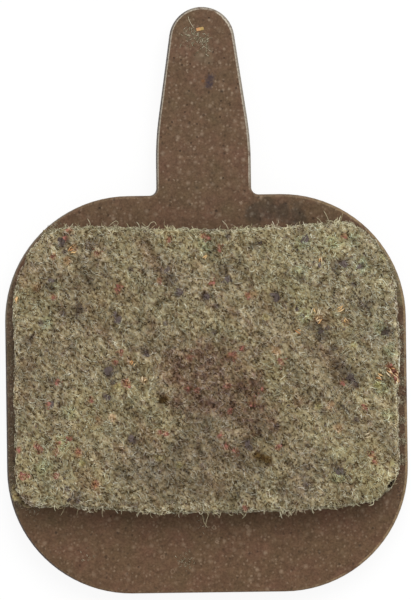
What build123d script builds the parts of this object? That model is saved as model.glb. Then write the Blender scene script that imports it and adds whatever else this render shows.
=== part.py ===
from build123d import *

import os
from math import asin, atan2, hypot, tan

# Bicycle disc brake pad, in millimetres: a steel backing plate, blanked with a pull tab, and a block
# of moulded friction compound bonded to the front of the plate.
#
# The pad lies on the back of its plate with the friction face up. X runs across the pad, Y towards the
# tip of the tab and Z out of the friction face. The origin is on the back of the plate, in the middle
# of its square body, where the caliper's piston pushes.

# Body of the backing plate
PLATE_WIDTH = 24.5
PLATE_HEIGHT = 24.3  # from the bottom edge up to the shoulders beside the tab
PLATE_THICKNESS = 2.0
PLATE_CORNER_RADIUS = 7.6

# Pull tab, which rises from the middle of the shoulders and tapers to a round tip
TAB_LENGTH = 11.5  # from the shoulders to the tip
TAB_NECK_WIDTH = 5.8
TAB_NECK_LENGTH = 3.4  # parallel sides, before the taper starts
TAB_TIP_RADIUS = 2.0
TAB_ROOT_FILLET = 0.45  # inside corners between the neck and the shoulders
TAB_BLEND_LENGTH = 1.3  # of the neck and of the taper, taken up by the soft turn between them

# Blanked edge: the punch rolls the front edge over, and the burr on the back is broken off
EDGE_ROLL_RADIUS = 0.2
BURR_CHAMFER = 0.1

# Friction block: bare plate left around it, and its own form
BLOCK_THICKNESS = 2.1
BLOCK_SIDE_MARGIN = 0.6
BLOCK_TOP_MARGIN = 2.1  # on the centre line, below the shoulders
BLOCK_BOTTOM_MARGIN = 4.95  # on the centre line, above the bottom edge
BLOCK_CORNER_STEP = 0.6  # how much tighter the block's upper corners are than the plate's
BLOCK_SWEEP_RADIUS = 130.0  # lower edge, bowed away from the tab; the upper edge has the same centre
BLOCK_UPPER_RADIUS = 3.0  # where the upper corners run into the top edge
BLOCK_LOWER_LEFT_RADIUS = 1.3
BLOCK_LOWER_RIGHT_RADIUS = 2.6  # this corner crumbled more as the block left its mould
BLOCK_DRAFT = 2.0  # degrees that the moulded walls lean in
BLOCK_EDGE_RADIUS = 0.15

SHOULDER_Y = PLATE_HEIGHT / 2


def vertices_at(outline, points):
    """The outline's vertices that lie nearest to these points."""
    corners = outline.vertices()
    return [corners.sort_by_distance(point)[0] for point in points]


def on_both_sides(x, y):
    """A point and its mirror image across the pad's centre line."""
    return [(x, y), (-x, y)]


def taper_turn():
    """The angle, in radians, by which each side of the tab turns in where its taper starts."""
    rise = TAB_LENGTH - TAB_TIP_RADIUS - TAB_NECK_LENGTH
    half_width = TAB_NECK_WIDTH / 2
    return atan2(half_width, rise) - asin(TAB_TIP_RADIUS / hypot(half_width, rise))


def plate_outline():
    """The blank: a rounded square whose tab has sides that run tangent into its round tip."""
    body = RectangleRounded(PLATE_WIDTH, PLATE_HEIGHT, PLATE_CORNER_RADIUS)
    neck = Pos(0, SHOULDER_Y) * Rectangle(TAB_NECK_WIDTH, 2 * TAB_NECK_LENGTH)
    tip = Pos(0, SHOULDER_Y + TAB_LENGTH - TAB_TIP_RADIUS) * Circle(TAB_TIP_RADIUS)
    blank = body + make_hull(neck.edges() + tip.edges())

    roots = on_both_sides(TAB_NECK_WIDTH / 2, SHOULDER_Y)
    blank = fillet(vertices_at(blank, roots), TAB_ROOT_FILLET)
    neck_ends = on_both_sides(TAB_NECK_WIDTH / 2, SHOULDER_Y + TAB_NECK_LENGTH)
    return fillet(vertices_at(blank, neck_ends), TAB_BLEND_LENGTH / tan(taper_turn() / 2))


def backing_plate():
    """The steel plate, with its front edge rolled over all round and its back edge broken."""
    plate = extrude(plate_outline(), PLATE_THICKNESS)
    plate = fillet(plate.faces().sort_by(Axis.Z)[-1].edges(), EDGE_ROLL_RADIUS)
    return chamfer(plate.faces().sort_by(Axis.Z)[0].edges(), BURR_CHAMFER)


def block_outline():
    """The block's foot: a band swept about a far centre, set in from the plate's sides and corners."""
    bottom_y = BLOCK_BOTTOM_MARGIN - PLATE_HEIGHT / 2
    block_height = PLATE_HEIGHT - BLOCK_TOP_MARGIN - BLOCK_BOTTOM_MARGIN
    sweep_centre = Pos(0, bottom_y + BLOCK_SWEEP_RADIUS)
    band = sweep_centre * (Circle(BLOCK_SWEEP_RADIUS) - Circle(BLOCK_SWEEP_RADIUS - block_height))

    # This rounded shape starts at the shoulders and runs well below the band, which its upper corners cut.
    block_width = PLATE_WIDTH - 2 * BLOCK_SIDE_MARGIN
    corner_radius = PLATE_CORNER_RADIUS - BLOCK_CORNER_STEP
    sides = Pos(0, SHOULDER_Y - PLATE_HEIGHT) * RectangleRounded(block_width, 2 * PLATE_HEIGHT, corner_radius)
    foot = band & sides

    foot = fillet(foot.vertices().sort_by(Axis.Y)[-2:], BLOCK_UPPER_RADIUS)
    lower_right, lower_left = on_both_sides(block_width / 2, bottom_y)
    foot = fillet(vertices_at(foot, [lower_right]), BLOCK_LOWER_RIGHT_RADIUS)
    return fillet(vertices_at(foot, [lower_left]), BLOCK_LOWER_LEFT_RADIUS)


def friction_block():
    """The moulded block on the plate's front, with drafted walls and a softened edge round its flat face."""
    block = extrude(Pos(0, 0, PLATE_THICKNESS) * block_outline(), BLOCK_THICKNESS)
    walls = block.faces().sort_by(Axis.Z)[1:-1]
    block = draft(walls, Plane.XY.offset(PLATE_THICKNESS), BLOCK_DRAFT)
    return fillet(block.faces().sort_by(Axis.Z)[-1].edges(), BLOCK_EDGE_RADIUS)


os.makedirs("parts", exist_ok=True)
export_step(backing_plate(), "parts/backing_plate.step")
export_step(friction_block(), "parts/friction_block.step")
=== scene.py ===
import math

import bmesh
import bpy
import numpy as np
from mathutils import Matrix, Vector, noise
from mathutils.bvhtree import BVHTree


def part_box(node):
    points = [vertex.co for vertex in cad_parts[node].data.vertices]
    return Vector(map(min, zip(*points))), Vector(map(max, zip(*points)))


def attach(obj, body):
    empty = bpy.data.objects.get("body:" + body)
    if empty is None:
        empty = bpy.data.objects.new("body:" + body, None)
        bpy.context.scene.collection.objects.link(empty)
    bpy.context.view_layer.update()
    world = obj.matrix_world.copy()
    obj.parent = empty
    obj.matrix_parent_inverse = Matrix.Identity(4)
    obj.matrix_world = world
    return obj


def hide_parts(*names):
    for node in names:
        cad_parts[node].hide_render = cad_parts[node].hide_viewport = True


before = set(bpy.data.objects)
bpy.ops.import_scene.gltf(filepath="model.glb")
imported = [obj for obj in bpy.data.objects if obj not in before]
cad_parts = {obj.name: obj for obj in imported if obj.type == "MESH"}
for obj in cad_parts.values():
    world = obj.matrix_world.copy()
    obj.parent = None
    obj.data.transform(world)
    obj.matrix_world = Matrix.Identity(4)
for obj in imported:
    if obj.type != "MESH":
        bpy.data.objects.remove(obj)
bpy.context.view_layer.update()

# Meshes are worked out in millimetres and brought to metres when they are finished.
MM = 0.001
SEED = 41  # each scatter adds a number of its own to this

# How the photograph sees the pad: straight down, with the pad turned a little to the left
PHOTO_SIZE = (411, 600)
PHOTO_MM_PER_PIXEL = 0.0611
PHOTO_BODY_CENTRE = (206.5, 393.8)  # pixel of the origin, the middle of the plate's square body
PHOTO_LEAN = 0.0135  # radians
CAMERA_LENS = 400.0
CAMERA_SENSOR = 36.0

# Light: a soft key from beyond the tab, a little to the right, and an even sky
KEY_SHARE = 0.38  # of the light on a level surface; the sky gives the rest
KEY_AZIMUTH = math.radians(18)  # to the right of the tab
KEY_ELEVATION = math.radians(56)
KEY_DISTANCE = 0.35
KEY_SIZE = 0.24

PLATE_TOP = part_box("backing_plate")[1].z / MM
BLOCK_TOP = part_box("friction_block")[1].z / MM
BLOCK_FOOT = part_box("friction_block")[0].z / MM

FAR_OFF = 100.0  # millimetres, more than any two points of the pad are apart
WHITE = (1.0, 1.0, 1.0, 1.0)


def pad_point(pixel, height=PLATE_TOP):
    """The point of the pad, in millimetres, that a pixel of the photograph shows."""
    across = pixel[0] - PHOTO_BODY_CENTRE[0]
    up = PHOTO_BODY_CENTRE[1] - pixel[1]
    x = across * math.cos(PHOTO_LEAN) + up * math.sin(PHOTO_LEAN)
    y = up * math.cos(PHOTO_LEAN) - across * math.sin(PHOTO_LEAN)
    return Vector((x * PHOTO_MM_PER_PIXEL, y * PHOTO_MM_PER_PIXEL, height))


# Node materials


def linear(red, green, blue):
    """A colour as it is seen on a screen, from 0 to 255, as the linear colour that shaders take."""
    parts = []
    for part in (red, green, blue):
        part = part / 255
        parts.append(part / 12.92 if part <= 0.04045 else ((part + 0.055) / 1.055) ** 2.4)
    return (*parts, 1.0)


def shades(dark, middle, light):
    """Three colours as they are seen on a screen, as evenly spaced stops of a ramp."""
    return [(0.0, linear(*dark)), (0.5, linear(*middle)), (1.0, linear(*light))]


def add_node(tree, kind, inputs=(), **settings):
    """Adds a node, sets its fields and feeds its inputs with links or values."""
    node = tree.nodes.new("ShaderNode" + kind)
    for field, value in settings.items():
        setattr(node, field, value)
    for key, value in dict(inputs).items():
        if isinstance(value, bpy.types.NodeSocket):
            tree.links.new(value, node.inputs[key])
        else:
            node.inputs[key].default_value = value
    return node


class Look:
    """A node material under construction, with coordinates in millimetres of the pad's own frame."""

    def __init__(self, name, **constants):
        self.material = bpy.data.materials.new(name)
        self.material.use_nodes = True
        self.tree = self.material.node_tree
        self.surface = self.tree.nodes["Principled BSDF"]
        for socket, value in constants.items():
            self.surface.inputs[socket.replace("_", " ")].default_value = value
        place = self.add("TexCoord").outputs["Object"]
        self.place = self.vector("SCALE", place, 1 / MM)

    def add(self, kind, inputs=(), **settings):
        return add_node(self.tree, kind, inputs, **settings)

    def vector(self, operation, first, second):
        """A sum or product of two vectors, or a vector scaled by a number."""
        key = "Scale" if operation == "SCALE" else 1
        return self.add("VectorMath", {0: first, key: second}, operation=operation).outputs[0]

    def where(self):
        """The three coordinates of a place, in millimetres."""
        return self.add("SeparateXYZ", {0: self.place}).outputs

    def facing(self):
        """The three parts of the direction that the surface faces."""
        return self.add("SeparateXYZ", {0: self.add("TexCoord").outputs["Normal"]}).outputs

    def noise(self, grain, detail=2.0, roughness=0.5, shift=0.0, place=None):
        """Cloudy noise whose lumps are about this many millimetres across."""
        place = place or self.place
        moved = self.vector("ADD", place, (shift, shift, shift))
        fields = {"Vector": moved, "Scale": 1 / grain, "Detail": detail, "Roughness": roughness}
        return self.add("TexNoise", fields).outputs["Fac"]

    def between(self, value, low, high):
        """0 where the value is under low, 1 where it is over high, and smooth between them."""
        fields = {"Value": value, "From Min": low, "From Max": high}
        return self.add("MapRange", fields, interpolation_type="SMOOTHSTEP").outputs["Result"]

    def level(self, value, low, high):
        """A number that goes from low to high as the value, a noise, goes from 0.3 to 0.7."""
        fields = {"Value": value, "From Min": 0.3, "From Max": 0.7, "To Min": low, "To Max": high}
        return self.add("MapRange", fields).outputs["Result"]

    def scaled(self, colour, value, low, high):
        """The colour made darker or lighter by that level."""
        return self.vector("SCALE", colour, self.level(value, low, high))

    def ragged(self, grain, amount):
        """Coordinates shaken by up to about this many millimetres, for uneven shapes."""
        shake = self.add("TexNoise", {"Vector": self.place, "Scale": 1 / grain}).outputs["Color"]
        return self.vector("ADD", self.place, self.vector("SCALE", shake, 2 * amount))

    def slanted(self, angle, stretch):
        """Coordinates that draw a texture out along a slant across the pad."""
        fields = {"Vector": self.place, "Angle": -angle}
        turned = self.add("VectorRotate", fields, rotation_type="Z_AXIS").outputs[0]
        return self.vector("MULTIPLY", turned, (1 / stretch, 1.0, 1.0))

    def math(self, operation, first, second=0.0):
        return self.add("Math", {0: first, 1: second}, operation=operation).outputs[0]

    def times(self, product, *values):
        """The product of all these values."""
        for value in values:
            product = self.math("MULTIPLY", product, value)
        return product

    def most(self, largest, *values):
        """The largest of all these values."""
        for value in values:
            largest = self.math("MAXIMUM", largest, value)
        return largest

    def ramp(self, value, stops):
        """A colour for each value: stops are (place, colour) pairs in rising order."""
        node = self.add("ValToRGB", {"Fac": value})
        elements = node.color_ramp.elements
        while len(elements) < len(stops):
            elements.new(1.0)
        for element, (position, colour) in zip(elements, stops):
            element.position = position
            element.color = colour
        return node.outputs["Color"]

    def mix(self, share, first, second, blend="MIX"):
        """The first colour, with this share of the second mixed or blended in."""
        fields = {0: share, 6: first, 7: second}
        return self.add("Mix", fields, data_type="RGBA", blend_type=blend).outputs[2]

    def tinted(self, colour, share, red, green, blue):
        """The colour times a tint, as far as the share goes."""
        return self.mix(share, colour, (red, green, blue, 1.0), "MULTIPLY")

    def shaded(self, stops):
        """A shade of its own for each loose piece of the mesh."""
        return self.ramp(self.add("NewGeometry").outputs["Random Per Island"], stops)

    def spots(self, pixels, radius, ragged):
        """1 on round patches about these pixels' places on the pad, fading to 0 at their ragged rims."""
        flat = self.vector("MULTIPLY", self.place, (1.0, 1.0, 0.0))
        away = FAR_OFF
        for pixel in pixels:
            fields = {0: flat, 1: pad_point(pixel, 0)}
            from_centre = self.add("VectorMath", fields, operation="DISTANCE").outputs["Value"]
            away = self.math("MINIMUM", from_centre, away)
        wobble = self.times(self.noise(radius * 0.6, 3.0, shift=radius), radius * 2 * ragged)
        away = self.math("ADD", away, wobble)
        return self.between(away, radius * (1.25 + ragged), radius * (0.4 + ragged))

    def bump(self, height, depth):
        """Raises the surface by this many millimetres where the height is 1."""
        fields = {"Height": height, "Distance": depth * MM, "Strength": 1.0}
        self.tree.links.new(self.add("Bump", fields).outputs["Normal"], self.surface.inputs["Normal"])

    def paint(self, colour):
        """The finished material, in this colour."""
        self.tree.links.new(colour, self.surface.inputs["Base Color"])
        return self.material


FELT_SLANT = math.radians(-50)  # most fibres run down to the right
RIM_START = 11.35  # millimetres from the centre line; outside this the felt is paler
RIM_FADE = 0.15
NEAR_FACE = (1.1, 0.8)  # millimetres below the face, between which its small marks end on the walls
LIGHT_CALM = 0.5  # how much of the fine tufts is lost in the light fields

# Pixels of the block's broad patches, of the painted shade in its small hollows, of small spots and tints,
# and of its red flecks
WORN_MIDDLE = (
    (184, 362), (203, 358), (224, 361), (241, 366), (180, 378), (200, 376), (226, 378), (246, 380),
    (182, 395), (204, 397), (226, 399), (247, 398), (254, 415),
)
WORN_ROUND = ((205, 372), (235, 395), (205, 440), (240, 440))
HOLLOW_SHADE_SPOTS = ((257, 455), (262, 457), (267, 459), (164, 399))
PIT_SHADE = ((388.5, 485.5), (391, 483), (393.5, 480.5))
BROKEN_CORNER = ((24, 496), (28, 500), (32, 504))
RED_PATCH = ((390, 368), (394, 373), (397, 379))
GREEN_CORNER = ((320, 255), (350, 270), (375, 300), (385, 340))
GREEN_SPOTS = (
    (303, 242), (380, 388), (362, 266), (389, 350), (44, 467), (54, 286), (335, 242), (380, 329),
    (354, 239), (337, 477), (304, 315), (47, 324), (387, 416), (204, 245), (65, 442), (70, 412),
    (299, 272),
)
RUST_TINTS = (
    (79, 453), (129, 360), (126, 383), (144, 380), (317, 318), (95, 484), (38, 287), (252, 295),
    (113, 417), (74, 248), (276, 351), (100, 420), (330, 404), (338, 427), (346, 322), (68, 261),
)
GOLD_SPOTS = (
    (83, 462), (391, 462), (383, 256), (265, 317), (353, 345), (118, 386), (318, 406), (377, 384),
    (16, 497), (158, 457), (162, 458), (179, 464),
)
GREY_DRIFTS = (
    (150, 465), (180, 462), (212, 456), (240, 462), (165, 486), (200, 482), (236, 488), (95, 262),
    (165, 285),
)
LIGHT_FIELDS = (
    (84, 395), (88, 420), (72, 442), (345, 462), (368, 450), (374, 475), (270, 294), (296, 290),
    (272, 366), (330, 246),
)
DARK_FIELDS = (
    (58, 272), (58, 322), (60, 346), (322, 333), (340, 348), (362, 345), (350, 375), (195, 430),
    (185, 445), (300, 442), (295, 485), (122, 472), (120, 368), (152, 268), (210, 488),
)
DARK_SPOTS = (
    (255, 245), (225, 270), (170, 280), (205, 297), (275, 295), (300, 277), (335, 265), (365, 305),
    (387, 330), (313, 325), (322, 337), (331, 350), (339, 361), (346, 372), (353, 383), (335, 465),
    (247, 442), (110, 370), (55, 380), (145, 352), (77, 495), (90, 245), (50, 285), (80, 310), (30, 340),
    (345, 262), (64, 242), (133, 438),
)
RED_FLECKS = (
    (39, 447), (25, 475), (70, 438), (79, 451), (96, 483), (169, 240), (203, 236), (219, 248), (70, 231),
    (54, 257), (54, 297), (188, 388), (197, 390), (190, 357), (230, 355), (242, 348), (262, 389),
    (251, 403), (230, 410), (371, 454), (374, 461), (120, 287), (121, 352), (58, 382), (49, 404),
    (160, 432), (226, 446), (278, 447), (364, 407), (245, 508), (344, 236), (247, 295), (212, 283),
    (98, 254), (281, 362), (228, 386), (391, 369), (395, 375), (388, 365), (393, 372), (397, 379),
    (37, 445), (41, 450), (22, 475), (28, 475), (19, 450), (59, 443), (57, 451), (57, 475), (126, 381),
    (128, 385), (160, 281), (220, 435), (236, 450), (166, 433), (342, 382), (66, 239), (118, 291),
    (115, 362), (207, 238), (234, 356), (92, 399),
)
# Pixels where grains under the felt shade it
GRAIN_SHADES = (
    (110, 375), (113, 382), (105, 395), (228, 278), (178, 294), (205, 296), (216, 306), (147, 353),
    (247, 442), (250, 447), (276, 296), (320, 330), (327, 328), (386, 332), (341, 263), (361, 266),
    (350, 378), (355, 384), (338, 470), (343, 472), (356, 419), (78, 500), (134, 439), (62, 245),
    (65, 252), (117, 316), (228, 237), (166, 323), (214, 332), (131, 269), (64, 313), (42, 323),
    (276, 425), (305, 484), (68, 488), (353, 284),
)
# Ends of the dark slashes between tufts: painted shade in the gaps between them
GAP_SHADE_SLASHES = (
    ((173, 431), (180, 443)), ((255, 426), (262, 436)), ((235, 487), (242, 501)), ((332, 270), (337, 275)),
    ((353, 292), (359, 300)), ((365, 306), (370, 314)), ((334, 290), (333, 301)), ((337, 402), (348, 411)),
    ((307, 392), (312, 398)), ((31, 339), (35, 332)), ((102, 274), (106, 277)), ((239, 257), (240, 263)),
    ((65, 291), (70, 297)), ((45, 403), (46, 412)), ((253, 355), (256, 362)), ((77, 318), (84, 327)),
    ((184, 469), (189, 472)), ((127, 409), (132, 407)),
)
SLASH_STEP = 2.5  # pixels between the spots that a slash is made of


def gap_shade_pixels():
    """Pixels along each slash of painted shade, close enough for their spots to run together."""
    pixels = []
    for start, end in GAP_SHADE_SLASHES:
        steps = round(math.dist(start, end) / SLASH_STEP)
        for step in range(steps + 1):
            share = step / steps
            pixels.append((start[0] + share * (end[0] - start[0]), start[1] + share * (end[1] - start[1])))
    return pixels


# Patches of the felt: their pixels, radius in millimetres, raggedness and tint
PATCHES = (
    (GREY_DRIFTS, 1.7, 0.9, (0.84, 0.83, 0.86)),
    (DARK_FIELDS, 1.1, 0.6, (0.865, 0.85, 0.875)),
    (WORN_ROUND, 3.2, 0.4, (0.9, 0.87, 0.88)),
    # dark brown painted shade in small hollows that the mesh does not have
    (HOLLOW_SHADE_SPOTS, 0.34, 0.5, (0.36, 0.27, 0.15)),
    (DARK_SPOTS, 0.42, 1.1, (0.61, 0.58, 0.62)),
    (GREEN_SPOTS, 0.5, 0.9, (0.98, 1.09, 1.04)),
    (RUST_TINTS, 0.3, 0.9, (1.14, 0.95, 0.88)),
    (GOLD_SPOTS, 0.25, 0.8, (1.22, 1.24, 1.0)),
    (RED_FLECKS, 0.22, 0.9, (0.98, 0.72, 0.66)),
    (BROKEN_CORNER, 0.26, 0.6, (0.7, 0.64, 0.66)),
    (GRAIN_SHADES, 0.22, 0.5, (0.47, 0.44, 0.52)),
    # painted shade in the gaps between tufts
    (gap_shade_pixels(), 0.09, 0.5, (0.36, 0.33, 0.33)),
    (GREEN_CORNER, 2.6, 0.3, (1.0, 1.03, 1.07)),
)


def tufted(look, colour, calm):
    """The colour in fine light and dark tufts, fainter where it is calm."""
    fine = look.noise(0.2, 2.0, shift=7.0, place=look.slanted(FELT_SLANT, 1.8))
    colour = look.mix(calm, look.scaled(colour, fine, 0.56, 1.4), colour)
    tint = look.mix(look.level(fine, 0.0, 1.0), (1.02, 1.0, 0.9, 1.0), (0.975, 1.0, 1.08, 1.0))
    return look.mix(1.0, colour, tint, "MULTIPLY")


def clouded(look, colour):
    """The colour in slanting streaks, and in mauve, olive, brown, pale and grey clouds."""
    along = look.slanted(FELT_SLANT, 2.0)
    colour = look.scaled(colour, look.noise(0.8, 3.0, 0.6, shift=2.0, place=along), 0.74, 1.26)
    mauve_to_olive = [(0.38, (0.9, 0.875, 0.868, 1.0)), (0.6, (1.0, 1.005, 0.94, 1.0))]
    tint = look.ramp(look.noise(2.6, 3.0, shift=3.0, place=along), mauve_to_olive)
    colour = look.mix(1.0, colour, tint, "MULTIPLY")
    brown = look.between(look.noise(1.6, 3.0, shift=11.0, place=along), 0.52, 0.68)
    colour = look.tinted(colour, brown, 0.86, 0.775, 0.755)
    colour = look.scaled(colour, look.noise(3.4, 2.0, shift=23.0), 0.97, 1.17)
    grey = look.between(look.noise(0.55, 3.0, 0.6, shift=19.0), 0.54, 0.66)
    return look.tinted(colour, grey, 0.75, 0.685, 0.705)


def worn_middle(look, colour):
    """The colour darkened and scuffed in the middle of the face."""
    worn = look.spots(WORN_MIDDLE, 1.4, 0.9)
    colour = look.tinted(colour, worn, 0.9, 0.82, 0.84)
    scuffs = look.times(worn, look.between(look.noise(0.45, 3.0, 0.6, shift=29.0), 0.46, 0.6))
    return look.tinted(colour, scuffs, 0.62, 0.53, 0.55)


def marked_edges(look, colour):
    """The colour with painted shade in the pit and a red patch near the face, and paler along the block's
    two sides.
    """
    where = look.where()
    near_face = look.between(where[2], BLOCK_TOP - NEAR_FACE[0], BLOCK_TOP - NEAR_FACE[1])
    # painted shade in the corner pit, near the face only
    pit = look.times(look.spots(PIT_SHADE, 0.15, 0.2), near_face)
    colour = look.tinted(colour, pit, 0.1, 0.08, 0.06)
    red = look.times(look.spots(RED_PATCH, 0.26, 0.6), near_face)
    colour = look.tinted(colour, red, 0.62, 0.36, 0.3)
    rim = look.between(look.math("ABSOLUTE", where[0]), RIM_START, RIM_START + RIM_FADE)
    return look.tinted(colour, rim, 1.25, 1.25, 1.25)


def mottled(look, colour):
    """The colour with all the tints that the fibres share with the ground under them."""
    light = look.spots(LIGHT_FIELDS, 1.2, 0.6)
    colour = tufted(look, colour, look.times(light, LIGHT_CALM))
    colour = clouded(look, colour)
    colour = look.tinted(colour, light, 1.175, 1.19, 1.15)
    for pixels, radius, ragged, tint in PATCHES:
        colour = look.tinted(colour, look.spots(pixels, radius, ragged), *tint)
    return marked_edges(look, worn_middle(look, colour))


def compound_look():
    """The dark resin that binds the fibres."""
    look = Look("compound_ground", Roughness=0.9, Specular_IOR_Level=0.15)
    stops = [(0.32, linear(80, 64, 39)), (0.5, linear(147, 132, 101)), (0.68, linear(177, 166, 134))]
    look.bump(look.noise(0.08, 2.0), 0.03)
    return look.paint(mottled(look, look.ramp(look.noise(0.2, 3.0, 0.6), stops)))


FIBRE_SHEEN = {"Roughness": 0.75, "Specular_IOR_Level": 0.2}
GRAIN_SHEEN = {"Roughness": 0.8, "Specular_IOR_Level": 0.15}
BRASS_SHEEN = {"Roughness": 0.4, "Specular_IOR_Level": 0.6}


def fibre_look(name, stops):
    """Felted fibres, each with its own shade."""
    look = Look(name, **FIBRE_SHEEN)
    return look.paint(mottled(look, look.shaded(stops)))


def inclusion_look(name, stops, stain, sheen):
    """Grains, flecks, slivers, hairs or dust, each with its own shade and stained in clouds."""
    look = Look(name, **sheen)
    clouds = look.between(look.noise(0.12, 2.0), 0.35, 0.65)
    return look.paint(look.tinted(look.shaded(stops), clouds, *stain))


# Meshes


def add_piece(name, mesh, material):
    """Links a finished mesh, in millimetres, as a piece of the pad."""
    mesh.transform(Matrix.Scale(MM, 4))
    mesh.materials.clear()
    mesh.materials.append(material)
    piece = bpy.data.objects.new(name, mesh)
    bpy.context.scene.collection.objects.link(piece)
    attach(piece, "root")
    return piece


def smoothed(mesh):
    """The mesh with smooth shading."""
    mesh.polygons.foreach_set("use_smooth", [True] * len(mesh.polygons))
    return mesh


GROUND_GRID = 0.085  # mesh size of the roughened block
FOOT_BAND = 0.5 * GROUND_GRID  # vertices less than this above the block's foot are its underside
GROUND_LUMPS = ((0.9, 0.045), (0.33, 0.04), (0.16, 0.025))  # size and height of each layer of lumps
EDGE_LUMPS = ((0.7, 0.14), (0.3, 0.1))  # added on the walls, which crumbled in the mould
# Pixels on the block's edge, and how many pixels right and down it crumbled or spread from the solid there
EDGE_DRIFTS = (
    ((55, 509), (0, -3)), ((80, 511), (0, -3)), ((105, 512), (0, -3)), ((130, 513), (0, -1.5)),
    ((366, 504), (0, -2)), ((72, 224), (0, 2)), ((160, 227), (0, 1)), ((205, 227), (0, 2)),
    ((228, 227), (0, 2.5)), ((250, 226), (0, 1)), ((280, 224), (0, 2)), ((398, 335), (2, 0)),
    ((398, 358), (2, 0)), ((22, 504), (1.5, -1.5)),
)
DRIFT_REACH = 0.9  # millimetres along the edge and into the block
CORNER_PIT = (390.7, 483.3)
PIT_SIZE = (0.36, 0.17)  # half its length and width
PIT_SLANT = math.radians(50)
PIT_DEPTH = 0.9
PIT_BAND = 0.3  # millimetres below the face, within which vertices sink into the pit


def evenly_remeshed(mesh, grid):
    """The mesh again, as an even grid of small faces."""
    carrier = bpy.data.objects.new("carrier", mesh)
    bpy.context.scene.collection.objects.link(carrier)
    remesh = carrier.modifiers.new("grid", "REMESH")
    remesh.mode = "VOXEL"
    remesh.voxel_size = grid
    evaluated = carrier.evaluated_get(bpy.context.evaluated_depsgraph_get())
    even = bpy.data.meshes.new_from_object(evaluated)
    bpy.data.objects.remove(carrier)
    return even


def inside_pit(point):
    """1 in the middle of the pit that broke out near the lower right corner, and 0 outside it."""
    away = (point - pad_point(CORNER_PIT)).xy
    away.rotate(Matrix.Rotation(-PIT_SLANT, 2))
    reach = math.hypot(away.x / PIT_SIZE[0], away.y / PIT_SIZE[1])
    return min(1.0, max(0.0, 2 - 2 * reach))


def edge_drift(point):
    """How far a point of the block moves with the crumbled or spread stretches of its edge."""
    total = Vector((0, 0, 0))
    weights = 0.0
    for pixel, (right, down) in EDGE_DRIFTS:
        here = pad_point(pixel, point.z)
        weight = math.exp(-((point - here).length / DRIFT_REACH) ** 2)
        total += weight * (pad_point((pixel[0] + right, pixel[1] + down), point.z) - here)
        weights += weight
    return total / max(1.0, weights)


def lump_height(point, layers):
    """The height of several layers of lumps, of different sizes, at a point."""
    return sum(depth * noise.noise(point / size) for size, depth in layers)


def ground_mesh():
    """The solid block with a fine, lumpy skin on its face and walls, and one face underneath."""
    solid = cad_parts["friction_block"].data.copy()
    solid.transform(Matrix.Scale(1 / MM, 4))
    mesh = evenly_remeshed(solid, GROUND_GRID)
    bpy.data.meshes.remove(solid)

    shape = bmesh.new()
    shape.from_mesh(mesh)
    underside = [f for f in shape.faces if all(v.co.z < BLOCK_FOOT + FOOT_BAND for v in f.verts)]
    bmesh.ops.dissolve_faces(shape, faces=underside, use_verts=False)
    shape.normal_update()
    for vertex in shape.verts:
        vertex.co += edge_drift(vertex.co)
        above = vertex.co.z - BLOCK_FOOT
        if above < FOOT_BAND:
            vertex.co.z = BLOCK_FOOT
            continue
        height = lump_height(vertex.co, GROUND_LUMPS)
        height += lump_height(vertex.co, EDGE_LUMPS) * (1 - abs(vertex.normal.z))
        if vertex.co.z > BLOCK_TOP - PIT_BAND:
            vertex.co.z -= PIT_DEPTH * inside_pit(vertex.co)
        vertex.co += vertex.normal * height
        vertex.co.z = max(vertex.co.z, BLOCK_FOOT)
    shape.to_mesh(mesh)
    shape.free()
    return smoothed(mesh)


class Skin:
    """The roughened block's outer surface, for what is laid on it."""

    def __init__(self, mesh):
        mesh.calc_loop_triangles()
        count = len(mesh.loop_triangles)
        points = np.empty(len(mesh.vertices) * 3)
        mesh.vertices.foreach_get("co", points)
        self.points = points.reshape(-1, 3)
        corners = np.empty(count * 3, dtype=np.int32)
        mesh.loop_triangles.foreach_get("vertices", corners)
        corners = corners.reshape(-1, 3)
        outside = self.points[corners][:, :, 2].max(axis=1) > BLOCK_FOOT + 0.01
        self.corners = corners[outside]
        self.tree = BVHTree.FromPolygons(self.points.tolist(), self.corners.tolist())
        a, b, c = (self.points[self.corners[:, i]] for i in range(3))
        cross = np.cross(b - a, c - a)
        self.areas = np.linalg.norm(cross, axis=1) / 2
        self.normals = cross / np.maximum(2 * self.areas, 1e-12)[:, None]

    def scatter(self, count, rng, weights=1.0):
        """Points strewn over the skin, and the directions that it faces there."""
        chance = self.areas * weights
        picked = rng.choice(len(self.corners), count, p=chance / chance.sum())
        u, v = rng.random((2, count))
        over = u + v > 1
        u[over], v[over] = 1 - u[over], 1 - v[over]
        a, b, c = (self.points[self.corners[picked, i]] for i in range(3))
        return a + u[:, None] * (b - a) + v[:, None] * (c - a), self.normals[picked]

    def nearest(self, point):
        """The nearest place on the skin, and the direction that it faces there."""
        place, normal, _, _ = self.tree.find_nearest(point)
        return place, normal


def laid_paths(skin, starts, normals, lengths, slants, rises, rng, bend, steps):
    """Fibres laid on the skin, each along its own slant and rise, that turn a little at each step."""
    turns = rng.normal(0, bend, (len(starts), steps))
    paths = np.empty((len(starts), steps + 1, 3))
    ups = np.empty_like(paths)
    for i, (start, up) in enumerate(zip(starts, normals)):
        point, up = Vector(start), Vector(up)
        heading = Vector((math.cos(slants[i]), math.sin(slants[i]), rises[i]))
        heading = (heading - up * heading.dot(up)).normalized()
        paths[i, 0], ups[i, 0] = point, up
        for step in range(steps):
            heading = Matrix.Rotation(turns[i, step], 3, up) @ heading
            point, up = skin.nearest(point + heading * (lengths[i] / steps))
            heading = (heading - up * heading.dot(up)).normalized()
            paths[i, step + 1], ups[i, step + 1] = point, up
    return paths, ups


def straight_up(paths):
    """The upward direction, for every point of these paths."""
    ups = np.zeros_like(paths)
    ups[:, :, 2] = 1.0
    return ups


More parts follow.
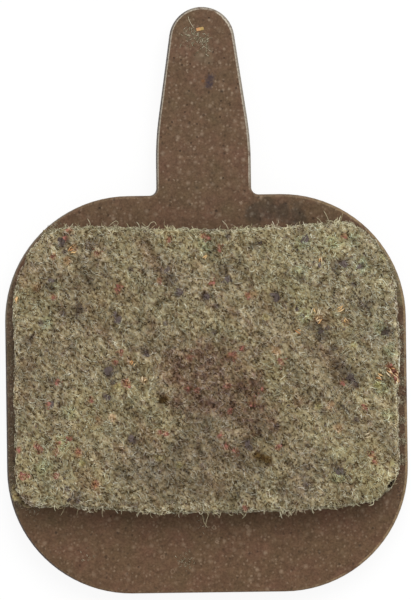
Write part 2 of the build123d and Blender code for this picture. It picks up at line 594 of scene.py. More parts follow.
def walked(starts, heading, lengths, steps, curl, shake, rise, rng):
    """Loose fibres from these starts, which turn by their curl and by a random shake at each step."""
    paths = np.empty((len(starts), steps + 1, 3))
    paths[:, 0] = starts
    for step in range(steps):
        heading = heading + curl + rng.normal(0, shake, len(starts))
        ahead = np.stack([np.cos(heading), np.sin(heading), rise], axis=1)
        paths[:, step + 1] = paths[:, step] + ahead * (lengths / steps)[:, None]
    return paths


TUBE_SIDES = 3


def tubes(name, paths, ups, radii):
    """One mesh of slim closed tubes along these paths, thinner at their ends."""
    count, rings = paths.shape[:2]
    along = np.gradient(paths, axis=1)
    along /= np.maximum(np.linalg.norm(along, axis=2, keepdims=True), 1e-9)
    aside = np.cross(along, ups)
    aside /= np.maximum(np.linalg.norm(aside, axis=2, keepdims=True), 1e-9)
    upward = np.cross(aside, along)
    taper = np.ones(rings)
    taper[0] = taper[-1] = 0.5
    reach = radii[:, None, None] * taper[None, :, None]
    ring_points = []
    for side in range(TUBE_SIDES):
        angle = math.pi / 2 + 2 * math.pi * side / TUBE_SIDES
        ring_points.append(paths + reach * (math.cos(angle) * aside + math.sin(angle) * upward))
    points = np.stack(ring_points, axis=2).reshape(-1, 3)

    one_tube = []
    for ring in range(rings - 1):
        for side in range(TUBE_SIDES):
            following = (side + 1) % TUBE_SIDES
            low, high = ring * TUBE_SIDES, (ring + 1) * TUBE_SIDES
            one_tube.append([low + side, low + following, high + following, high + side])
    first = list(range(TUBE_SIDES))[::-1]
    last = [(rings - 1) * TUBE_SIDES + side for side in range(TUBE_SIDES)]
    shifts = np.arange(count) * rings * TUBE_SIDES
    walls = (np.array(one_tube)[None] + shifts[:, None, None]).reshape(-1, 4).tolist()
    caps = (np.array([first, last])[None] + shifts[:, None, None]).reshape(-1, TUBE_SIDES).tolist()
    mesh = bpy.data.meshes.new(name)
    mesh.from_pydata(points.tolist(), [], walls + caps)
    return smoothed(mesh)


FELTS = {
    "felt_brown": {
        "count": 8800, "length": (0.1, 0.22), "radius": (0.022, 0.036), "lift": (-0.02, 0.015), "steps": 2,
        "stops": shades((150, 135, 106), (178, 164, 133), (200, 187, 155)),
    },
    "felt_straw": {
        "count": 12000, "length": (0.11, 0.25), "radius": (0.018, 0.03), "lift": (0.0, 0.035), "steps": 2,
        "stops": shades((188, 179, 152), (207, 200, 175), (222, 218, 197)),
    },
    "felt_grey": {
        "count": 12000, "length": (0.11, 0.24), "radius": (0.018, 0.03), "lift": (0.0, 0.035), "steps": 2,
        "stops": shades((161, 153, 132), (189, 183, 159), (212, 208, 188)),
    },
    "felt_dark": {
        "count": 11000, "length": (0.08, 0.2), "radius": (0.022, 0.04), "lift": (0.0, 0.04), "steps": 2,
        "stops": shades((57, 41, 21), (94, 75, 46), (126, 107, 73)),
    },
    "felt_curls": {
        "count": 2600, "length": (0.25, 0.55), "radius": (0.02, 0.03), "lift": (0.01, 0.05), "steps": 4,
        "stops": shades((174, 165, 139), (203, 197, 170), (229, 226, 205)),
    },
}
SLANT_SPREAD = 0.6  # radians
FELT_BEND = 0.5  # radians, at each step of a fibre
FELT_STIR = 0.012  # millimetres by which a fibre waves up and down

PALE_FIBRES = shades((134, 120, 92), (182, 170, 138), (216, 206, 178))
DUST_FIBRES = shades((124, 112, 86), (174, 164, 136), (218, 210, 184))
FRINGE_FIBRES = shades((150, 138, 108), (200, 191, 158), (230, 225, 200))


def felt(skin, name, count, length, radius, lift, steps, stops, seed):
    """One layer of the felted fibres that cover the block, mostly along the felt's slant."""
    rng = np.random.default_rng(seed)
    starts, normals = skin.scatter(count, rng)
    slants = FELT_SLANT + rng.normal(0, SLANT_SPREAD, count)
    rises = rng.normal(0, 1.0, count)
    lengths = rng.uniform(*length, count)
    paths, ups = laid_paths(skin, starts, normals, lengths, slants, rises, rng, FELT_BEND, steps)
    lifts = rng.uniform(*lift, (count, 1)) + rng.normal(0, FELT_STIR, (count, paths.shape[1]))
    mesh = tubes(name, paths + lifts[:, :, None] * ups, ups, rng.uniform(*radius, count))
    return add_piece(name, mesh, fibre_look(name, stops))


# Pixels of the larger dark grains
DARK_GRAINS = (
    (248, 445), (339, 470), (147, 352), (108, 373), (276, 298), (322, 330), (385, 331), (352, 378),
    (104, 396), (133, 438), (73, 497), (64, 242), (176, 288), (228, 279), (166, 272), (206, 294),
    (305, 240), (318, 262), (346, 262), (360, 265), (262, 240), (54, 280), (49, 404), (117, 318),
    (300, 312),
)
# Pixels of groups of brass slivers, and their slants in degrees
BRASS_SLIVERS = {
    (144, 379): 60, (313, 311): -70, (318, 312): 80, (318, 320): 45, (340, 309): 20, (345, 320): -60,
    (391, 370): -35, (396, 374): -45, (398, 381): -50, (320, 260): 85, (17, 300): 70, (367, 435): 10,
    (388, 373): -35, (72, 250): 50, (205, 257): 45, (298, 331): -40, (379, 376): -20, (133, 363): 50,
}


def clusters(skin, pixels, each, spread, rng):
    """A few places on the skin about each of these pixels, and the directions that it faces there."""
    places, normals = [], []
    for pixel in pixels:
        middle = pad_point(pixel, BLOCK_TOP)
        for _ in range(rng.integers(*each)):
            place, normal = skin.nearest(middle + Vector((*rng.normal(0, spread, 2), 0)))
            places.append(place)
            normals.append(normal)
    return np.array(places), np.array(normals)


def strands(skin, name, middles, angles, length, radius, lift, turn, material, rng):
    """Short strands pressed into the felt, which turn a little from these angles."""
    count = len(middles)
    angles = np.array(angles) + rng.normal(0, turn, count)
    lengths = rng.uniform(*length, count)
    starts, normals = [], []
    for middle, angle, reach in zip(middles, angles, lengths):
        half = Vector((math.cos(angle), math.sin(angle), 0)) * reach / 2
        place, normal = skin.nearest(Vector(middle) - half)
        starts.append(place)
        normals.append(normal)
    paths, ups = laid_paths(skin, starts, normals, lengths, angles, np.zeros(count), rng, turn, 3)
    lifts = rng.uniform(*lift, (count, 1, 1))
    mesh = tubes(name, paths + lifts * ups, ups, rng.uniform(*radius, count))
    return add_piece(name, mesh, material)


def lumps(name, places, normals, radii, rng, flatness):
    """One mesh of rough pebbles, flattened against the surface that they lie on."""
    ball = bmesh.new()
    bmesh.ops.create_icosphere(ball, subdivisions=2, radius=1.0)
    unit = [vertex.co.copy() for vertex in ball.verts]
    faces = [[vertex.index for vertex in face.verts] for face in ball.faces]
    ball.free()
    points, polygons = [], []
    for place, normal, radius in zip(places, normals, radii):
        turn = Vector(normal).to_track_quat("Z", "Y").to_matrix()
        spin = Matrix.Rotation(rng.uniform(0, math.tau), 3, "Z")
        turn = turn @ spin @ Matrix.Diagonal((1.25, 0.8, flatness))
        shift = Vector(rng.uniform(-50, 50, 3))
        first = len(points)
        for corner in unit:
            rough = 1 + 0.35 * noise.noise(corner * 1.3 + shift)
            points.append(Vector(place) + turn @ (corner * rough * radius))
        polygons.extend([[first + index for index in face] for face in faces])
    mesh = bpy.data.meshes.new(name)
    mesh.from_pydata(points, [], polygons)
    return smoothed(mesh)


SMALL_GRAINS = 200


def dark_grains(skin, seed):
    """Warm grey grains of filler, level with the felt."""
    rng = np.random.default_rng(seed)
    places, normals = clusters(skin, DARK_GRAINS, (1, 3), 0.12, rng)
    small_places, small_normals = skin.scatter(SMALL_GRAINS, rng)
    radii = np.concatenate([rng.uniform(0.18, 0.32, len(places)), rng.uniform(0.05, 0.1, SMALL_GRAINS)])
    places = np.concatenate([places, small_places])
    normals = np.concatenate([normals, small_normals])
    mesh = lumps("dark_grains", places - normals * radii[:, None] * 0.28, normals, radii, rng, flatness=0.4)
    stops = shades((76, 65, 56), (100, 88, 84), (116, 103, 97))
    look = inclusion_look("dark_grains", stops, (0.8, 0.78, 0.78), GRAIN_SHEEN)
    return add_piece("dark_grains", mesh, look)


RED_STRANDS = {"length": (0.1, 0.25), "radius": (0.022, 0.038), "lift": (0.0, 0.045), "turn": 1.0}


def red_flecks(skin, seed):
    """Soft red crumbs that the felt half covers, frayed into strands."""
    rng = np.random.default_rng(seed)
    places, normals = clusters(skin, RED_FLECKS, (1, 3), 0.08, rng)
    radii = rng.uniform(0.09, 0.16, len(places))
    mesh = lumps("red_flecks", places - normals * radii[:, None] * 0.24, normals, radii, rng, flatness=0.4)
    stops = shades((132, 94, 76), (157, 105, 90), (183, 125, 111))
    look = inclusion_look("red_flecks", stops, (0.84, 0.78, 0.76), GRAIN_SHEEN)
    add_piece("red_flecks", mesh, look)
    middles, _ = clusters(skin, RED_FLECKS, (3, 7), 0.13, rng)
    angles = [FELT_SLANT] * len(middles)
    strands(skin, "red_strands", middles, angles, material=look, rng=rng, **RED_STRANDS)


BRASS = {"length": (0.2, 0.46), "radius": (0.036, 0.06), "lift": (0.04, 0.07), "turn": 0.18}
BRASS_GAP = 0.13  # millimetres between slivers that lie side by side


def brass_slivers_painted_glints(skin, seed):
    """Slivers of brass, side by side in twos and threes, with painted glints: their paler shades run up to
    near white.
    """
    rng = np.random.default_rng(seed)
    middles, angles = [], []
    for pixel, slant in BRASS_SLIVERS.items():
        angle = math.radians(slant)
        across = Vector((-math.sin(angle), math.cos(angle), 0)) * BRASS_GAP
        number = rng.integers(2, 4)
        for index in range(number):
            middles.append(pad_point(pixel, BLOCK_TOP) + across * (index - (number - 1) / 2))
            angles.append(angle)
    # brass colours whose near-white upper part is painted glints in the base colour
    stops = [(0.0, linear(226, 162, 108)), (0.3, linear(250, 212, 146)), (1.0, linear(255, 246, 220))]
    look = inclusion_look("brass_slivers_painted_glints", stops, (1.0, 0.9, 0.78), BRASS_SHEEN)
    strands(skin, "brass_slivers_painted_glints", middles, angles, material=look, rng=rng, **BRASS)


STRAY_COUNT = 2600
STRAY_BAND = 0.35  # millimetres of the block's edge, below its face, that stray fibres grow from
STRAY_ROOT = 0.06  # millimetres that they start inside the block
LONGEST_STRAY = 0.75
STRAY_RADIUS = (0.014, 0.029)


def stray_fibres(skin, seed):
    """Loose curly fibres that stand out from the block's upper edge, longest at its two long sides."""
    rng = np.random.default_rng(seed)
    facing_out = (skin.normals[:, 2] > 0.1) & (skin.normals[:, 2] < 0.85)
    high = skin.points[skin.corners][:, :, 2].min(axis=1) > BLOCK_TOP - STRAY_BAND
    to_tab = skin.normals[:, 1] > 0.5
    starts, normals = skin.scatter(STRAY_COUNT, rng, (facing_out & high) * (1 + to_tab))
    outward = normals * (1, 1, 0)
    outward /= np.linalg.norm(outward, axis=1, keepdims=True)
    on_long_side = np.abs(outward[:, 1]) ** 8
    lengths = np.minimum(rng.lognormal(-1.2, 0.5, STRAY_COUNT), LONGEST_STRAY)
    lengths *= 0.25 + 0.75 * on_long_side
    heading = np.arctan2(outward[:, 1], outward[:, 0]) + rng.normal(0, 0.9, STRAY_COUNT)
    curl = rng.normal(0, 0.7, STRAY_COUNT)
    rise = rng.uniform(-0.3, 0.3, STRAY_COUNT)
    roots = starts - STRAY_ROOT * outward
    paths = walked(roots, heading, lengths, steps=5, curl=curl, shake=0.25, rise=rise, rng=rng)
    mesh = tubes("stray_fibres", paths, straight_up(paths), rng.uniform(*STRAY_RADIUS, STRAY_COUNT))
    return add_piece("stray_fibres", mesh, fibre_look("stray_fibres", FRINGE_FIBRES))


# Single hairs, as pixels along each of them, and the height in millimetres that they lie at
LONG_HAIRS = (
    (((109, 227), (113, 223), (117, 221), (119, 223), (117, 226), (113, 228)), BLOCK_TOP - 0.05),
    (((88, 219), (90, 222), (91, 225), (89, 228)), BLOCK_TOP - 0.05),
    (((148, 228), (151, 223), (155, 222), (157, 226)), BLOCK_TOP - 0.05),
    (((323, 211), (326, 216), (328, 221), (329, 226)), BLOCK_TOP - 0.1),
    (((316, 218), (319, 220), (322, 225)), BLOCK_TOP - 0.1),
    (((222, 221), (226, 225), (228, 229)), BLOCK_TOP - 0.05),
    (((66, 505), (64, 510), (61, 515)), BLOCK_TOP - 0.3),
    (((199, 508), (203, 516), (204, 522), (208, 527)), BLOCK_TOP - 0.4),
    (((210, 510), (207, 518), (205, 526)), BLOCK_TOP - 0.4),
    (((284, 511), (287, 515), (290, 514)), BLOCK_TOP - 0.3),
    (((188, 16), (189, 20), (191, 24), (194, 28)), PLATE_TOP + 0.03),
)
HAIR_RINGS = 9
HAIR_RADIUS = 0.026


def loose_fibres(name, paths, radii, stops, stain):
    """Single fibres along these paths, clear of the felt."""
    mesh = tubes(name, paths, straight_up(paths), radii)
    return add_piece(name, mesh, inclusion_look(name, stops, stain, FIBRE_SHEEN))


def long_hairs():
    """Hairs that are long enough to be told apart, on the block's edges and on the tab."""
    paths = []
    for pixels, height in LONG_HAIRS:
        points = np.array([pad_point(pixel, height) for pixel in pixels])
        along = np.linspace(0, len(points) - 1, HAIR_RINGS)
        coordinates = [np.interp(along, range(len(points)), points[:, axis]) for axis in range(3)]
        paths.append(np.stack(coordinates, axis=1))
    paths = np.array(paths)
    radii = np.full(len(paths), HAIR_RADIUS)
    return loose_fibres("long_hairs", paths, radii, PALE_FIBRES, (0.88, 0.86, 0.84))


# Fibre dust on the plate: a pixel, how far the dust spreads in millimetres and how many fibres it has
DUST = (
    ((187, 33), 0.15, 10), ((190, 36), 0.2, 14), ((193, 31), 0.16, 9), ((191, 42), 0.24, 10),
    ((196, 37), 0.2, 11), ((200, 36), 0.2, 9), ((203, 39), 0.2, 11), ((205, 44), 0.2, 12),
    ((207, 49), 0.24, 9), ((201, 46), 0.24, 7), ((55, 222), 0.3, 50), ((48, 227), 0.25, 110),
    ((42, 233), 0.25, 90), ((184, 562), 0.25, 36), ((186, 557), 0.3, 16), ((88, 557), 0.3, 10),
    ((13, 480), 0.2, 40), ((13, 488), 0.2, 70), ((14, 497), 0.2, 90), ((386, 257), 0.2, 70),
    ((390, 265), 0.2, 70), ((395, 274), 0.2, 70), ((398, 283), 0.2, 60), ((401, 330), 0.15, 40),
    ((401, 345), 0.15, 70), ((401, 360), 0.15, 85), ((401, 380), 0.15, 100), ((402, 400), 0.2, 85),
    ((402, 420), 0.15, 85), ((402, 440), 0.15, 110), ((402, 460), 0.15, 85), ((205, 519), 0.25, 24),
    ((24, 499), 0.25, 60), ((29, 503), 0.25, 60), ((35, 508), 0.2, 30), ((10, 365), 0.15, 14),
    ((10, 378), 0.15, 14), ((11, 392), 0.15, 14), ((11, 412), 0.2, 16), ((11, 430), 0.2, 16),
    ((11, 448), 0.2, 16), ((12, 464), 0.2, 16), ((9, 330), 0.15, 7), ((9, 345), 0.15, 8),
)


def settled(paths):
    """These paths let down on the front of the plate, and which of them lie on it from end to end."""
    tree = BVHTree.FromObject(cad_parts["backing_plate"], bpy.context.evaluated_depsgraph_get())
    paths = paths.copy()
    on_plate = np.empty(paths.shape[:2], dtype=bool)
    for index in np.ndindex(on_plate.shape):
        above = Vector((*paths[index][:2], PLATE_TOP + 1.0)) * MM
        place, normal, _, _ = tree.ray_cast(above, Vector((0, 0, -1)))
        on_plate[index] = place is not None and normal.z > 0.5
        if on_plate[index]:
            paths[index][2] = place.z / MM
    return paths, on_plate.all(axis=1)


DUST_RADIUS = (0.012, 0.022)
DUST_LENGTH = (0.05, 0.17)
TAB_DUST_THICKER = 1.6
TAB_DUST_LONGER = 1.5


def fibre_dust(seed):
    """Short fibres shed by the block, lying on the plate, longer and thicker on the tab."""
    rng = np.random.default_rng(seed)
    starts = []
    for pixel, spread, count in DUST:
        starts.append(np.array(pad_point(pixel)) + rng.normal(0, spread, (count, 3)) * (1, 1, 0))
    starts = np.concatenate(starts)
    count = len(starts)
    on_tab = starts[:, 1] > TAB_START
    radii = rng.uniform(*DUST_RADIUS, count) * np.where(on_tab, TAB_DUST_THICKER, 1.0)
    heading = rng.uniform(0, math.tau, count)
    lengths = rng.uniform(*DUST_LENGTH, count) * np.where(on_tab, TAB_DUST_LONGER, 1.0)
    paths = walked(starts, heading, lengths, steps=3, curl=0.0, shake=0.35, rise=np.zeros(count), rng=rng)
    paths, kept = settled(paths)
    paths[:, :, 2] += 0.8 * radii[:, None]
    return loose_fibres("fibre_dust", paths[kept], radii[kept], DUST_FIBRES, (0.84, 0.83, 0.82))


# Pixels of the crumbs beside the block's left corners
FLASH = (
    (14, 488), (14, 492), (15, 496), (17, 499), (20, 501), (24, 504), (28, 506), (45, 233), (50, 229),
)


def moulding_flash(seed):
    """Thin crumbs of compound that squeezed out beside the block's left corners."""
    rng = np.random.default_rng(seed)
    places = np.array([pad_point(pixel) for pixel in FLASH])
    normals = np.tile((0.0, 0.0, 1.0), (len(places), 1))
    mesh = lumps("moulding_flash", places, normals, rng.uniform(0.14, 0.2, len(places)), rng, flatness=0.45)
    return add_piece("moulding_flash", mesh, compound_look())


CHIP_PLACE = (200, 29)
CHIP_SIZE = (0.46, 0.2, 0.05)
CHIP_TURN = math.radians(11)
CHIP_BEVEL = 0.02
CHIP_FADE = 0.4  # millimetres on each side of its middle, over which its colour turns


def brass_chip():
    """A flat chip of brass stuck to the tab."""
    shape = bmesh.new()
    place = Matrix.Translation(pad_point(CHIP_PLACE, PLATE_TOP + CHIP_SIZE[2] / 2))
    turn = Matrix.Rotation(CHIP_TURN, 4, "Z")
    bmesh.ops.create_cube(shape, size=1.0, matrix=place @ turn @ Matrix.Diagonal((*CHIP_SIZE, 1.0)))
    bmesh.ops.bevel(shape, geom=shape.edges[:], offset=CHIP_BEVEL, segments=2, affect="EDGES")
    mesh = bpy.data.meshes.new("brass_chip")
    shape.to_mesh(mesh)
    shape.free()
    look = Look("brass_chip", Roughness=0.5, Metallic=0.2)
    shade = look.math("ADD", look.noise(0.12, 2.0, shift=4.0), look.where()[0])
    middle = pad_point(CHIP_PLACE).x + 0.5  # the noise adds this much, on average
    stops = shades((200, 136, 88), (203, 160, 104), (166, 146, 78))
    colour = look.ramp(look.between(shade, middle - CHIP_FADE, middle + CHIP_FADE), stops)
    return add_piece("brass_chip", mesh, look.paint(colour))


def friction_block():
    """The block: its lumpy ground, the fibres felted over it and what is set in the felt."""
    mesh = ground_mesh()
    skin = Skin(mesh)
    ground = add_piece("compound_ground", mesh, compound_look())
    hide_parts("friction_block")
    for index, (name, kind) in enumerate(FELTS.items()):
        felt(skin, name, seed=SEED + index, **kind)
    dark_grains(skin, SEED + 10)
    stray_fibres(skin, SEED + 11)
    red_flecks(skin, SEED + 20)
    brass_slivers_painted_glints(skin, SEED + 13)


def loose_bits():
    """What the block has shed, on its own edges and on the plate."""
    long_hairs()
    fibre_dust(SEED + 14)
    moulding_flash(SEED + 15)
    brass_chip()


# Pixels of the coat's stains, residue, pin holes and blisters
TAB_SMUDGE = ((211, 78), (210, 82), (209, 85))
RESIDUE = ((374, 243), (380, 251), (386, 259), (391, 268), (396, 278), (400, 288), (402, 298))
SHOULDER_STAIN = ((256, 213), (268, 209), (282, 211), (296, 216))
TAB_SPOT = (203, 81)
TAB_HAZE = ((187, 34), (192, 39), (199, 39), (204, 43), (206, 49), (199, 58), (208, 60))
TAB_PITS = (
    (213, 52), (181, 60), (174, 58), (182, 65), (190, 64), (209, 63), (224, 58), (209, 18), (238, 84),
    (236, 88), (221, 101), (230, 105), (220, 117), (189, 91), (185, 112), (187, 105), (172, 122),
    (197, 124), (197, 137), (161, 137), (191, 143), (243, 106), (180, 151), (223, 178),
)
TAB_BLISTERS = (
    (224, 49), (220, 63), (179, 98), (192, 103), (177, 140), (223, 90), (229, 89), (232, 93), (220, 109),
    (229, 161), (180, 157), (168, 166), (221, 178), (209, 20), (201, 117), (191, 83), (194, 149),
    (212, 148),
)
TAB_START = 11.5  # millimetres from the origin, a little below the shoulders
STRIP_START = 11.5  # millimetres from the centre line; fibre residue lies on the strips outside this
STRIP_FADE = 0.1
SHADOW_TONE_END = (-6.0, -9.0)  # millimetres up from the origin, between which the coat turns warmer, a painted shadow tone below the block
ROLL_DEPTH = (0.55, 0.3)  # millimetres below the front, between which the wear of the rolled edge sets in
SCRAPE_START = (3.0, 5.0)  # millimetres up from the origin, between which the left edge turns paler


def dots(look, spacing, reach, share):
    """Soft ragged dots in a random scatter, on this share of the places and each with its own strength."""
    cells = look.add("TexVoronoi", {"Vector": look.ragged(0.14, 0.08), "Scale": 1 / spacing}).outputs
    chance = look.add("SeparateColor", {"Color": cells["Color"]}).outputs[0]
    strength = look.between(chance, share, 0.0)
    return look.times(look.between(cells["Distance"], reach / spacing, 0.0), strength)


def rings(look, spacing, reach, share):
    """Burst blisters: soft ragged rings in a random scatter, on this share of the places."""
    cells = look.add("TexVoronoi", {"Vector": look.ragged(0.13, 0.09), "Scale": 1 / spacing}).outputs
    chance = look.add("SeparateColor", {"Color": cells["Color"]}).outputs[1]
    outer = look.between(cells["Distance"], reach / spacing, 0.8 * reach / spacing)
    inner = look.between(cells["Distance"], 0.3 * reach / spacing, 0.7 * reach / spacing)
    return look.times(outer, inner, look.between(chance, share, 0.0))


def coat_specks(look):
    """How strong the coat's pale specks and blisters are at a place, from 0 to 1."""
    thick = look.level(look.noise(2.4, 2.0, shift=5.0), 0.45, 0.85)
    large = dots(look, 0.5, 0.21, 0.7)
    small = dots(look, 0.22, 0.11, 0.8)
    scattered = look.times(look.most(large, small, rings(look, 0.9, 0.16, 0.2)), thick)
    return look.most(scattered, look.times(look.spots(TAB_BLISTERS, 0.1, 0.6), 0.6))


def coat_holes(look):
    """How deep the coat's pin holes are at a place, from 0 to 1."""
    scattered = look.times(dots(look, 0.42, 0.13, 0.9), 0.7)
    return look.most(scattered, look.times(look.spots(TAB_PITS, 0.06, 0.5), 0.75))


def stained(look, colour):
    """The coat stained on one shoulder, marked on its tab, and warmer at its lower end as a painted shadow
    tone below the block.
    """
    colour = look.tinted(colour, look.spots(SHOULDER_STAIN, 0.75, 0.7), 0.62, 0.68, 0.74)
    haze = look.times(look.spots(TAB_HAZE, 0.36, 0.8), 0.3)
    colour = look.mix(haze, colour, linear(128, 113, 92))
    blotchy = look.level(look.noise(0.16, 2.0, shift=21.0), 0.45, 1.05)
    smudge = look.times(look.spots(TAB_SMUDGE, 0.3, 0.9), blotchy)
    colour = look.mix(smudge, colour, linear(64, 52, 56))
    colour = look.mix(look.spots([TAB_SPOT], 0.12, 0.6), colour, linear(128, 88, 54))
    # painted shadow tone: warmer on the plate below the block
    painted_shadow_tone = look.between(look.where()[1], *SHADOW_TONE_END)
    return look.tinted(colour, painted_shadow_tone, 1.0, 0.96, 0.92)


def with_residue(look, colour):
    """The coat with compound smeared near the right shoulder, grainy strips beside the block, the right one
    in painted shade.
    """
    on_front = look.between(look.facing()[2], 0.3, 0.8)
    residue = look.times(look.spots(RESIDUE, 0.42, 0.8), on_front)
    colour = look.mix(residue, colour, linear(128, 116, 86))
    across = look.where()[0]
    on_left = look.between(across, -STRIP_START, -STRIP_START - STRIP_FADE)
    on_right = look.between(across, STRIP_START, STRIP_START + STRIP_FADE)
    grainy = look.scaled(colour, look.noise(0.1, 3.0, 0.7, shift=9.0), 0.3, 1.7)
    grainy = look.tinted(grainy, on_left, 0.92, 1.06, 1.14)
    # painted shade of the block on the right strip
    grainy = look.tinted(grainy, on_right, 0.86, 0.86, 0.86)
    return look.mix(look.most(on_left, on_right), colour, grainy)


def coat(look):
    """The brown coat's colour, with specks, blisters, pin holes, stains and residue; also its relief."""
    stops = [(0.3, linear(99, 80, 58)), (0.5, linear(103, 80, 60)), (0.72, linear(107, 79, 62))]
    colour = look.ramp(look.noise(1.7, 4.0, 0.6), stops)
    for cloud, dark, light in (
        (look.noise(0.13, 3.0, 0.6), (0.745, 0.715, 0.68, 1.0), (1.26, 1.265, 1.27, 1.0)),
        (look.noise(0.45, 2.0, shift=6.0), (0.865, 0.845, 0.82, 1.0), (1.14, 1.145, 1.15, 1.0)),
    ):
        shade = look.mix(look.level(cloud, 0.0, 1.0), dark, light)
        colour = look.mix(1.0, colour, shade, "MULTIPLY")
    specks = coat_specks(look)
    holes = coat_holes(look)
    colour = stained(look, look.mix(specks, colour, linear(158, 137, 115)))
    colour = look.mix(holes, colour, linear(34, 25, 17))
    return with_residue(look, colour), look.math("SUBTRACT", specks, look.times(holes, 1.5))


def cut_wall(look, colour):
    """The coat on the plate's blanked wall, where the punch drew streaks down it."""
    wall = look.between(look.math("ABSOLUTE", look.facing()[2]), 0.5, 0.2)
    drawn = look.vector("MULTIPLY", look.place, (1.0, 1.0, 0.12))
    streaked = look.scaled(colour, look.noise(0.16, 3.0, 0.6, shift=13.0, place=drawn), 0.7, 1.2)
    return look.mix(wall, colour, streaked)


def edge_wear_and_painted_light(look):
    """Where the rolled edge is worn to steel with a painted highlight, where it has painted shade, where
    the tab is, and where the left is scraped.
    """
    facing = look.facing()
    where = look.where()
    rolled = look.between(where[2], PLATE_TOP - ROLL_DEPTH[0], PLATE_TOP - ROLL_DEPTH[1])
    on_tab = look.between(where[1], TAB_START, TAB_START + 2.0)
    on_right = look.times(look.between(where[0], 2.0, 11.0), 0.65)
    gaps = look.between(look.noise(1.1, 2.0, shift=17.0), 0.3, 0.44)
    flecks = look.level(look.noise(0.13, 3.0, 0.7), 0.3, 1.4)
    edge = look.times(look.between(facing[2], 0.995, 0.96), rolled)
    # worn steel on the up-facing roll with a painted highlight, full on the tab and strongest on the right,
    # toward the key
    bare_steel_and_highlight = look.times(edge, look.most(on_tab, on_right, 0.12), look.times(gaps, flecks))
    # painted shade on the steep part of the roll: full where it faces left, away from the key, and partly
    # around the tab
    to_left = look.between(facing[0], -0.25, -0.4)
    painted_edge_shade = look.most(to_left, look.times(on_tab, 0.4))
    painted_edge_shade = look.times(look.between(facing[2], 0.9, 0.8), rolled, painted_edge_shade)
    painted_edge_shade = look.times(painted_edge_shade, look.level(look.noise(0.11, 3.0, 0.7, shift=31.0), 0.45, 1.25))
    scraped = look.math("SUBTRACT", look.between(where[1], *SCRAPE_START), on_tab)
    return bare_steel_and_highlight, painted_edge_shade, on_tab, scraped


def plate_look():
    """Brown coat, worn at the edges to steel with a painted highlight: brightest on the tab, rusty on the
    right; painted shade on the left-facing edges.
    """
    look = Look("coated_steel", Specular_IOR_Level=0.2)
    colour, relief = coat(look)
    colour = cut_wall(look, colour)
    bare_steel_and_highlight, painted_edge_shade, on_tab, scraped = edge_wear_and_painted_light(look)
    # colours of the worn steel and its painted highlight: rusty on the right, brighter on the tab
    steel = look.mix(on_tab, linear(166, 142, 108), linear(190, 180, 163))
    colour = look.mix(bare_steel_and_highlight, colour, steel)
    # grey of the painted edge shade: paler above the scrape start, darker on the tab
    grey = look.mix(scraped, linear(78, 74, 77), linear(122, 115, 104))
    grey = look.mix(on_tab, grey, linear(58, 54, 60))
    colour = look.mix(look.times(painted_edge_shade, 0.8), colour, grey)
    look.tree.links.new(look.times(bare_steel_and_highlight, on_tab, 0.6), look.surface.inputs["Metallic"])
    rough = look.level(look.noise(0.3, 3.0), 0.5, 0.7)
    look.tree.links.new(rough, look.surface.inputs["Roughness"])
    look.bump(relief, 0.012)
    return look.paint(colour)


def backing_plate():
    """The plate keeps its CAD form and takes on its looks."""
    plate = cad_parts["backing_plate"]
    plate.data.materials.clear()
    plate.data.materials.append(plate_look())


# Stage


def white_floor():
    """A pale floor that looks white and keeps a light shadow of the pad."""
    half = 0.5
    mesh = bpy.data.meshes.new("floor")
    corners = [(-half, -half, 0), (half, -half, 0), (half, half, 0), (-half, half, 0)]
    mesh.from_pydata(corners, [], [(0, 1, 2, 3)])
    look = Look("floor", Roughness=1.0, Specular_IOR_Level=0.0)
    look.surface.inputs["Base Color"].default_value = (0.82, 0.82, 0.82, 1.0)
    path = look.add("LightPath").outputs
    seen = look.most(path["Is Camera Ray"], path["Is Glossy Ray"], path["Is Transmission Ray"])
    shadowed = look.add("BsdfDiffuse", {"Color": WHITE}).outputs[0]
    white = look.add("Emission", {"Color": WHITE, "Strength": 1.03}).outputs[0]
    pale = look.add("MixShader", {0: 0.86, 1: shadowed, 2: white}).outputs[0]
    lit = look.surface.outputs[0]
    both = look.add("MixShader", {0: seen, 1: lit, 2: pale}).outputs[0]
    look.tree.links.new(both, look.tree.nodes["Material Output"].inputs["Surface"])
    floor = bpy.data.objects.new("floor", mesh)
    mesh.materials.append(look.material)
    bpy.context.scene.collection.objects.link(floor)


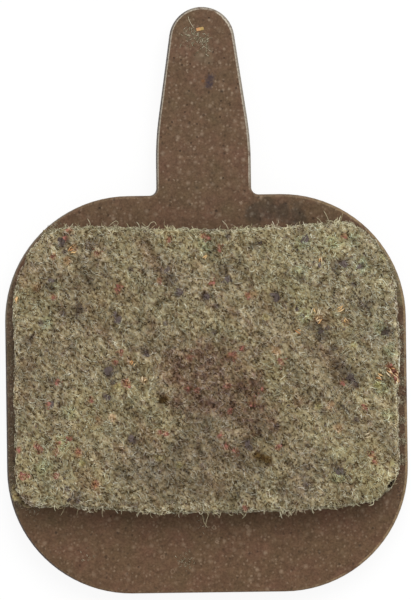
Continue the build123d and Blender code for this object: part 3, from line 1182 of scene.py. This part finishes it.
def sky():
    """An even sky that lights the pad, and shows as white."""
    world = bpy.data.worlds.new("sky")
    world.use_nodes = True
    tree = world.node_tree
    lit = tree.nodes["Background"]
    lit.inputs["Color"].default_value = WHITE
    lit.inputs["Strength"].default_value = 1 - KEY_SHARE
    white = add_node(tree, "Background", {"Color": WHITE})
    path = add_node(tree, "LightPath").outputs
    fields = {0: path["Is Camera Ray"], 1: path["Is Transmission Ray"]}
    seen = add_node(tree, "Math", fields, operation="MAXIMUM").outputs[0]
    mixed = add_node(tree, "MixShader", {0: seen, 1: lit.outputs[0], 2: white.outputs[0]})
    tree.links.new(mixed.outputs[0], tree.nodes["World Output"].inputs["Surface"])
    bpy.context.scene.world = world


def key_light():
    """A soft box whose light on a level surface is its share of the whole."""
    level = math.cos(KEY_ELEVATION)
    way = Vector((math.sin(KEY_AZIMUTH) * level, math.cos(KEY_AZIMUTH) * level, math.sin(KEY_ELEVATION)))
    lamp = bpy.data.lights.new("key", "AREA")
    lamp.size = KEY_SIZE
    lamp.energy = KEY_SHARE * math.pi**2 * KEY_DISTANCE**2 / math.sin(KEY_ELEVATION)
    key = bpy.data.objects.new("key", lamp)
    key.location = way * KEY_DISTANCE
    key.rotation_euler = way.to_track_quat("Z", "Y").to_euler()
    bpy.context.scene.collection.objects.link(key)


def photo_camera():
    """Looks straight down on the pad, framed and turned as in the photograph."""
    data = bpy.data.cameras.new("camera")
    data.lens = CAMERA_LENS
    data.sensor_width = CAMERA_SENSOR
    data.clip_start = 0.01
    middle = pad_point((PHOTO_SIZE[0] / 2, PHOTO_SIZE[1] / 2))
    frame_height = PHOTO_SIZE[1] * PHOTO_MM_PER_PIXEL
    middle.z += frame_height * CAMERA_LENS / CAMERA_SENSOR
    camera = bpy.data.objects.new("camera", data)
    camera.location = middle * MM
    camera.rotation_euler = (0, 0, -PHOTO_LEAN)
    bpy.context.scene.collection.objects.link(camera)
    bpy.context.scene.camera = camera


backing_plate()
friction_block()
loose_bits()
white_floor()
sky()
key_light()
photo_camera()
bpy.context.scene.view_settings.view_transform = "Standard"
